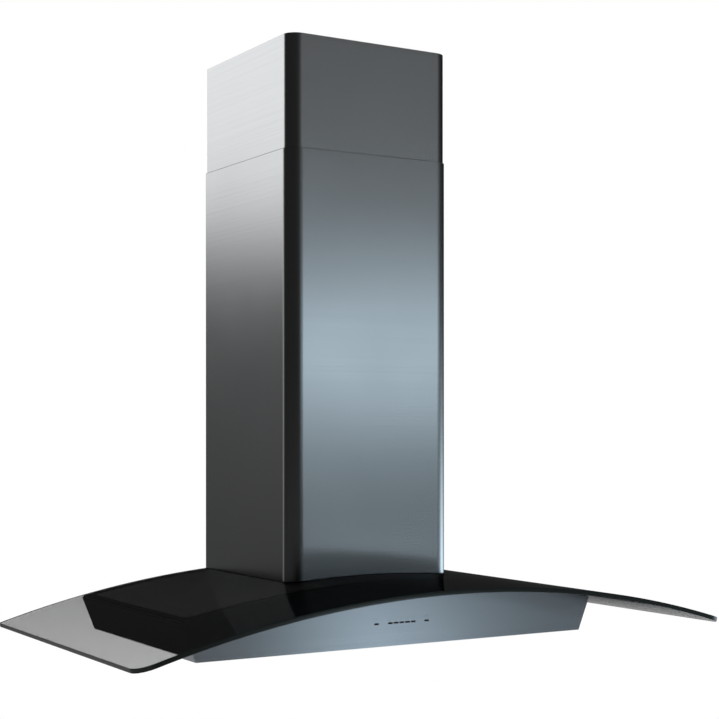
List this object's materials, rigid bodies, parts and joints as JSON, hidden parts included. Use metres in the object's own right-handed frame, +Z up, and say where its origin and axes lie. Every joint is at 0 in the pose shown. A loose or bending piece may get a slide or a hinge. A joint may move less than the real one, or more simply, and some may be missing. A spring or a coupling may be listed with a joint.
{
  "type": "island range hood",
  "caption": "Ceiling-hung range hood: arched smoked-glass canopy over a tapered steel body, with a telescoping rectangular duct cover and push keys.",
  "frame": {"origin": "centre of the ceiling plate's top face, at the duct's axis; the hood hangs below it", "axes": "+X along the canopy's width to the cook's right, -Y towards the controls, +Z up to the ceiling"},
  "size_m": [0.9, 0.4945, 0.836],
  "materials": {
    "steel": "brushed along the long side, satin",
    "zinc": "galvanised sheet",
    "black_paint": "black enamel, semi-gloss",
    "black_rubber": "soft black strip",
    "black_plastic": "moulded, fine texture",
    "grey_glass": "smoked toughened glass, polished edge",
    "aluminium": "satin",
    "lens_plastic": "frosted"
  },
  "bodies": {
    "ceiling_section": {"ceiling_plate": "zinc", "anchor_bolt_1": "zinc", "anchor_bolt_2": "zinc", "anchor_bolt_3": "zinc", "anchor_bolt_4": "zinc", "upper_post_1": "zinc", "upper_post_2": "zinc", "upper_post_3": "zinc", "upper_post_4": "zinc", "upper_duct_cover": "steel", "duct_sleeve": "zinc"},
    "hood": {"glass_canopy": "grey_glass", "glass_seal": "black_rubber", "front_panel": "steel", "back_panel": "steel", "side_panel_left": "steel", "side_panel_right": "steel", "underside_panel": "steel", "body_top": "black_paint", "support_frame": "zinc", "blower_box": "zinc", "scroll_band": "zinc", "scroll_side_left": "zinc", "scroll_side_right": "zinc", "motor": "black_paint", "motor_bracket": "zinc", "duct_collar": "black_plastic", "control_box": "black_plastic", "junction_box": "black_plastic", "cable_gland": "black_plastic", "lower_post_1": "zinc", "lower_post_2": "zinc", "lower_post_3": "zinc", "lower_post_4": "zinc", "lamp_housing_left": "aluminium", "lamp_lens_left": "lens_plastic", "lamp_housing_right": "aluminium", "lamp_lens_right": "lens_plastic"},
    "lower_cover": {"lower_duct_cover": "steel"},
    "wheel": {"blower_wheel": "aluminium"},
    "flap_front": {"damper_flap_front": "aluminium"},
    "flap_back": {"damper_flap_back": "aluminium"},
    "key_body_1": {"key_1": "black_plastic"},
    "key_body_2": {"key_2": "black_plastic"},
    "key_body_3": {"key_3": "black_plastic"},
    "key_body_4": {"key_4": "black_plastic"},
    "key_body_5": {"key_5": "black_plastic"},
    "key_body_6": {"key_6": "black_plastic"},
    "key_body_7": {"key_7": "black_plastic"},
    "filter_left": {"filter_frame_left": "aluminium", "filter_mesh_left": "aluminium"},
    "latch_left": {"filter_latch_left": "black_plastic"},
    "filter_right": {"filter_frame_right": "aluminium", "filter_mesh_right": "aluminium"},
    "latch_right": {"filter_latch_right": "black_plastic"}
  },
  "joints": [
    {"name": "height_adjust", "type": "slide", "parent": "ceiling_section", "child": "hood", "axis": [0, 0, 1], "range_m": [-0.08, 0.06]},
    {"name": "cover_lift", "type": "slide", "parent": "hood", "child": "lower_cover", "axis": [0, 0, 1], "range_m": [0, 0.08]},
    {"name": "wheel_spin", "type": "hinge", "parent": "hood", "child": "wheel", "pos_m": [0, 0.01, -0.646], "axis": [1, 0, 0], "continuous": true},
    {"name": "flap_back_swing", "type": "hinge", "parent": "hood", "child": "flap_back", "pos_m": [0, 0.004, -0.476], "axis": [1, 0, 0], "range_deg": [0, 75]},
    {"name": "flap_front_swing", "type": "hinge", "parent": "hood", "child": "flap_front", "pos_m": [0, -0.004, -0.476], "axis": [-1, 0, 0], "range_deg": [0, 75]},
    {"name": "key_1_press", "type": "slide", "parent": "hood", "child": "key_body_1", "axis": [0, 1, 0], "range_m": [0, 0.001], "stiffness_N_per_m": 600, "springref_m": -0.0006},
    {"name": "key_2_press", "type": "slide", "parent": "hood", "child": "key_body_2", "axis": [0, 1, 0], "range_m": [0, 0.001], "stiffness_N_per_m": 600, "springref_m": -0.0006},
    {"name": "key_3_press", "type": "slide", "parent": "hood", "child": "key_body_3", "axis": [0, 1, 0], "range_m": [0, 0.001], "stiffness_N_per_m": 600, "springref_m": -0.0006},
    {"name": "key_4_press", "type": "slide", "parent": "hood", "child": "key_body_4", "axis": [0, 1, 0], "range_m": [0, 0.001], "stiffness_N_per_m": 600, "springref_m": -0.0006},
    {"name": "key_5_press", "type": "slide", "parent": "hood", "child": "key_body_5", "axis": [0, 1, 0], "range_m": [0, 0.001], "stiffness_N_per_m": 600, "springref_m": -0.0006},
    {"name": "key_6_press", "type": "slide", "parent": "hood", "child": "key_body_6", "axis": [0, 1, 0], "range_m": [0, 0.001], "stiffness_N_per_m": 600, "springref_m": -0.0006},
    {"name": "key_7_press", "type": "slide", "parent": "hood", "child": "key_body_7", "axis": [0, 1, 0], "range_m": [0, 0.001], "stiffness_N_per_m": 600, "springref_m": -0.0006},
    {"name": "filter_left_swing", "type": "hinge", "parent": "hood", "child": "filter_left", "pos_m": [-0.148, 0.1165, -0.8315], "axis": [1, 0, 0], "range_deg": [0, 80]},
    {"name": "latch_left_pull", "type": "slide", "parent": "filter_left", "child": "latch_left", "axis": [0, 1, 0], "range_m": [0, 0.002], "stiffness_N_per_m": 400, "springref_m": -0.001},
    {"name": "filter_right_swing", "type": "hinge", "parent": "hood", "child": "filter_right", "pos_m": [0.148, 0.1165, -0.8315], "axis": [1, 0, 0], "range_deg": [0, 80]},
    {"name": "latch_right_pull", "type": "slide", "parent": "filter_right", "child": "latch_right", "axis": [0, 1, 0], "range_m": [0, 0.002], "stiffness_N_per_m": 400, "springref_m": -0.001}
  ]
}
